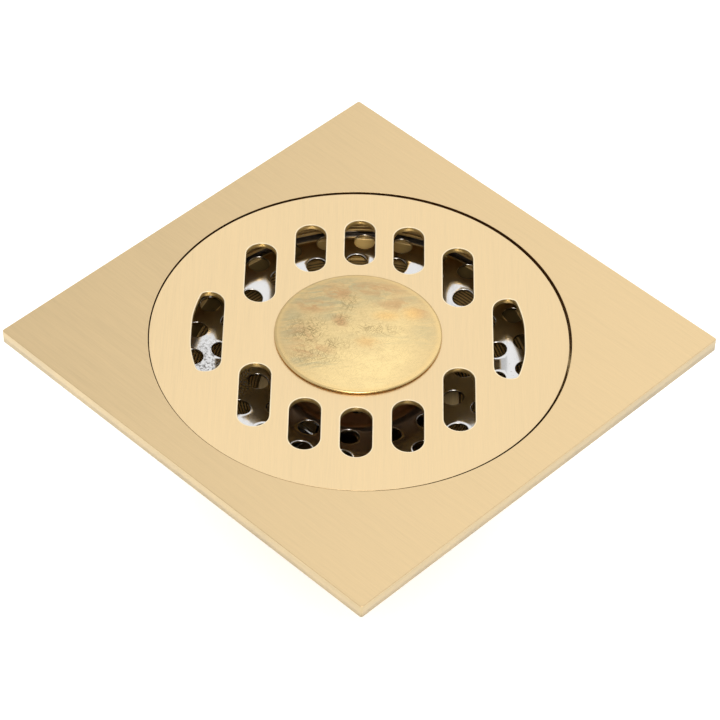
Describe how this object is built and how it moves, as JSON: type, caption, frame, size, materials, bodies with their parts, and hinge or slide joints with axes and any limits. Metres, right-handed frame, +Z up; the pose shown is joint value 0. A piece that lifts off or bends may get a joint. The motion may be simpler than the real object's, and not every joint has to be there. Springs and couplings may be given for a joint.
{
  "type": "square floor drain grate",
  "caption": "Square brushed floor drain with a round slotted lid, a centre hose plug, a perforated strainer and a lift-out sprung trap core.",
  "frame": {"origin": "on the drain's axis, in the plane of the spigot's lower end", "axes": "+Z up, out of the floor along the drain's axis; X and Y along the sides of the square face plate"},
  "size_m": [0.1, 0.1, 0.0479],
  "materials": {
    "brushed_brass": "fine brushed",
    "turned_brass": "as turned",
    "tarnished_brass": "polished, tarnished",
    "polished_steel": "polished",
    "black_rubber": "matte",
    "white_silicone": "matte"
  },
  "bodies": {
    "drain": {"face_plate": "brushed_brass", "drain_bowl": "turned_brass", "spigot_washer": "black_rubber", "outlet_spigot": "turned_brass"},
    "core": {"core_gasket": "black_rubber", "core_body": "turned_brass", "core_handle": "polished_steel", "handle_rivets": "polished_steel"},
    "valve": {"valve_stem": "polished_steel", "spring_cap": "polished_steel", "valve_spring": "polished_steel", "valve_disc": "turned_brass", "valve_seal": "white_silicone", "stem_washer": "polished_steel", "stem_nut": "polished_steel"},
    "strainer": {"strainer_pan": "polished_steel", "strainer_knob": "polished_steel", "strainer_rivet": "polished_steel"},
    "lid": {"grate_lid": "brushed_brass", "hose_collar": "turned_brass"},
    "plug": {"hose_plug": "tarnished_brass", "plug_oring": "black_rubber"}
  },
  "joints": [
    {"name": "core_lift", "type": "slide", "parent": "drain", "child": "core", "axis": [0, 0, 1], "range_m": [0, 0.05]},
    {"name": "valve_open", "type": "slide", "parent": "core", "child": "valve", "axis": [0, 0, -1], "range_m": [0, 0.005], "stiffness_N_per_m": 60, "springref_m": -0.02, "deforming": ["valve_spring"]},
    {"name": "strainer_lift", "type": "slide", "parent": "core", "child": "strainer", "axis": [0, 0, 1], "range_m": [0, 0.03]},
    {"name": "lid_lift", "type": "slide", "parent": "strainer", "child": "lid", "axis": [0, 0, 1], "range_m": [0, 0.03]},
    {"name": "plug_pull", "type": "slide", "parent": "lid", "child": "plug", "axis": [0, 0, 1], "range_m": [0, 0.025]}
  ]
}
